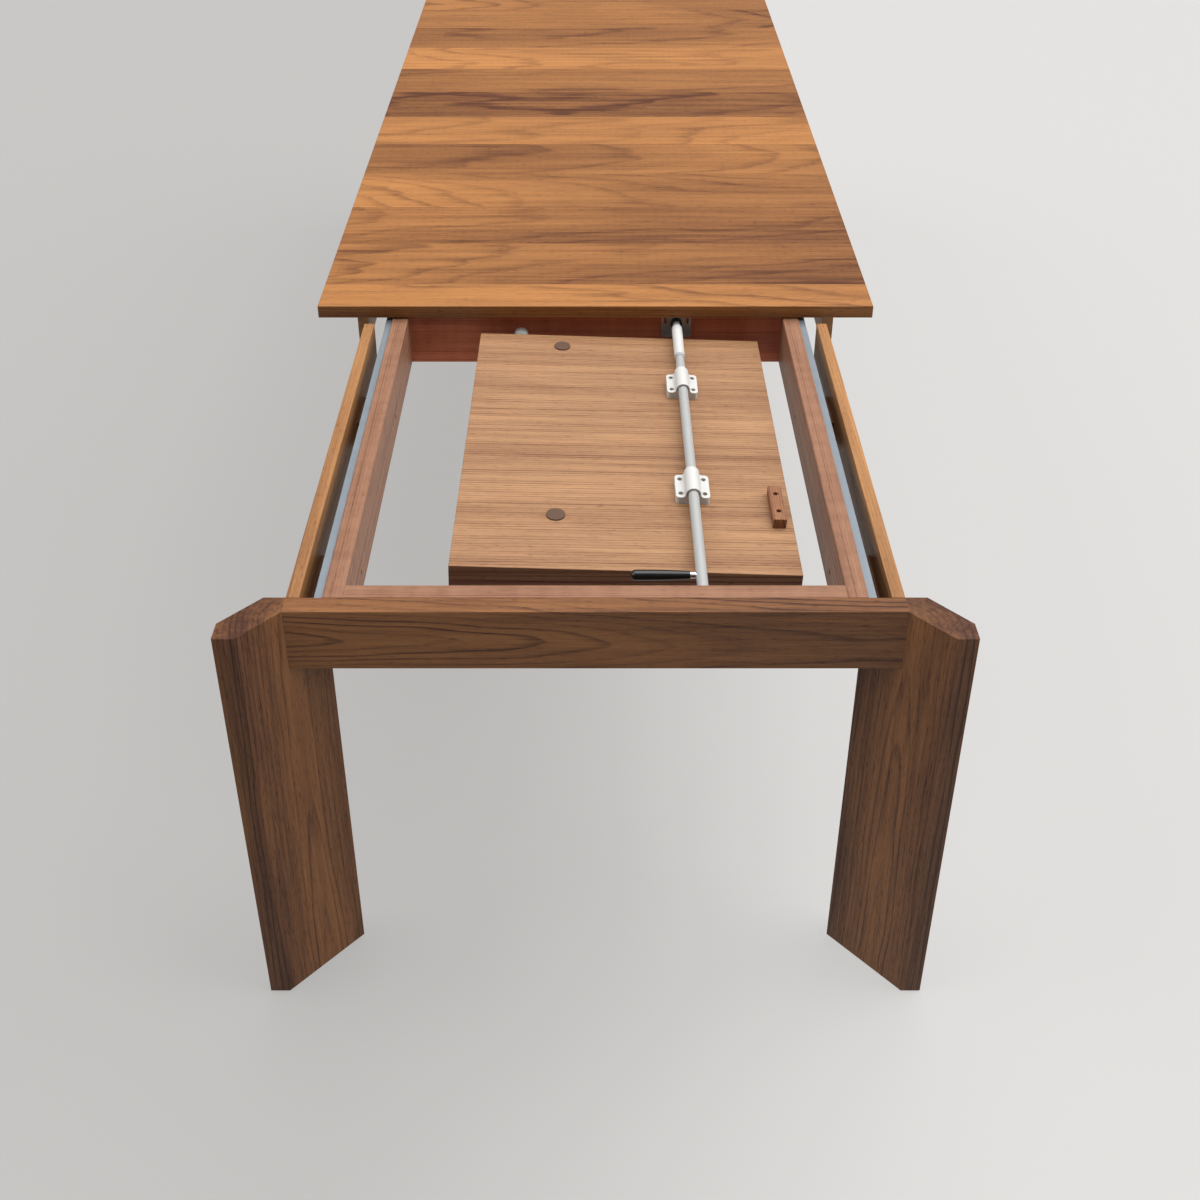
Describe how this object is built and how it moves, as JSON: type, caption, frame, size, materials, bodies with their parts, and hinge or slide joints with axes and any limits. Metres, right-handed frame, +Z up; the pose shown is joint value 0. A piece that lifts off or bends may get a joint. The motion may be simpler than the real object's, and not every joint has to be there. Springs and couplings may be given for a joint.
{
  "type": "extending dining table with fold-away leaf",
  "caption": "Walnut dining table shown pulled out at one end, with a self-storing folding leaf stowed between its runners on a turning latch shaft.",
  "frame": {"origin": "at floor level in the middle of the pulled-out table, halfway between the end frame's front legs and the far edge of the top", "axes": "+Z up; +Y along the table from the pulled-out end to the far end; +X to the right seen from the pulled-out end"},
  "size_m": [1, 2.836, 0.735],
  "materials": {
    "walnut_top": "satin lacquer",
    "walnut": "satin lacquer",
    "stained_wood": "stained hardwood, sanded",
    "leaf_walnut": "straight-grained veneer, matt lacquer",
    "dark_walnut": "oiled",
    "beech": "plain",
    "zinc_steel": "zinc plated",
    "slide_steel": "bright zinc",
    "cage_steel": "cold rolled",
    "grey_paint": "satin powder coat",
    "white_nylon": "moulded nylon",
    "black_nylon": "moulded, satin",
    "bright_chrome": "polished",
    "brass": "brushed",
    "brown_glide": "felt-faced"
  },
  "bodies": {
    "main_table": {"table_top": "walnut_top", "far_leg_left": "walnut", "far_leg_right": "walnut", "far_apron": "walnut", "far_leg_glides": "brown_glide", "outer_rail_left": "walnut", "outer_rail_right": "walnut", "bearer_left": "stained_wood", "bearer_right": "stained_wood", "far_batten": "stained_wood", "far_dowels": "beech", "top_screws": "zinc_steel", "slide_bar_left": "slide_steel", "slide_bar_right": "slide_steel", "bar_screws": "zinc_steel", "keeper_plates": "zinc_steel", "keeper_screws": "zinc_steel"},
    "end_frame": {"near_leg_left": "walnut", "near_leg_right": "walnut", "near_apron": "walnut", "near_leg_glides": "brown_glide", "inner_rail_left": "walnut", "inner_rail_right": "walnut", "runner_left": "stained_wood", "runner_right": "stained_wood", "spacer_blocks": "stained_wood", "near_cross_rail": "stained_wood", "far_cross_rail": "stained_wood", "near_dowels": "beech", "frame_screws": "zinc_steel", "slide_channel_left": "slide_steel", "slide_channel_right": "slide_steel", "channel_screws": "zinc_steel", "near_bush": "black_nylon", "far_bush": "black_nylon", "shaft_bracket": "zinc_steel", "leaf_buffer": "white_nylon"},
    "ball_cages": {"ball_cage_left": "cage_steel", "ball_cage_right": "cage_steel", "slide_balls": "slide_steel"},
    "latch_shaft": {"latch_tube": "grey_paint", "latch_rod": "grey_paint", "rod_collar": "grey_paint", "rod_sleeve": "white_nylon", "latch_handle": "black_nylon", "handle_ferrule": "bright_chrome", "latch_finger": "zinc_steel"},
    "leaf_carriage": {"pivot_liners": "black_nylon"},
    "leaf_a": {"leaf_half_a": "leaf_walnut", "saddle_clamp_near": "white_nylon", "saddle_clamp_far": "white_nylon", "leaf_a_screws": "brass", "glide_pads": "brown_glide", "leaf_block": "dark_walnut", "fold_hinges_a": "brass", "hinge_pins": "brass"},
    "leaf_b": {"leaf_half_b": "leaf_walnut", "fold_hinges_b": "brass", "leaf_b_screws": "brass"}
  },
  "joints": [
    {"name": "end_slide", "type": "slide", "parent": "main_table", "child": "end_frame", "axis": [0, -1, 0], "range_m": [-0.84, 0]},
    {"name": "cage_roll", "type": "slide", "parent": "main_table", "child": "ball_cages", "axis": [0, -1, 0], "range_m": [-0.42, 0]},
    {"name": "latch_turn", "type": "hinge", "parent": "end_frame", "child": "latch_shaft", "pos_m": [0.147, 0, 0.6935], "axis": [0, -1, 0], "range_deg": [0, 90]},
    {"name": "leaf_shift", "type": "slide", "parent": "end_frame", "child": "leaf_carriage", "axis": [0, -1, 0], "range_m": [-0.011, 0.06]},
    {"name": "leaf_flip", "type": "hinge", "parent": "leaf_carriage", "child": "leaf_a", "pos_m": [0.147, 0, 0.6935], "axis": [0, 1, 0], "range_deg": [0, 178]},
    {"name": "leaf_unfold", "type": "hinge", "parent": "leaf_a", "child": "leaf_b", "pos_m": [0.29245, 0, 0.64665], "axis": [0, -1, 0], "range_deg": [0, 110]}
  ],
  "couplings": [
    {"joint": "cage_roll", "follows": "end_slide", "ratio": 0.5}
  ]
}
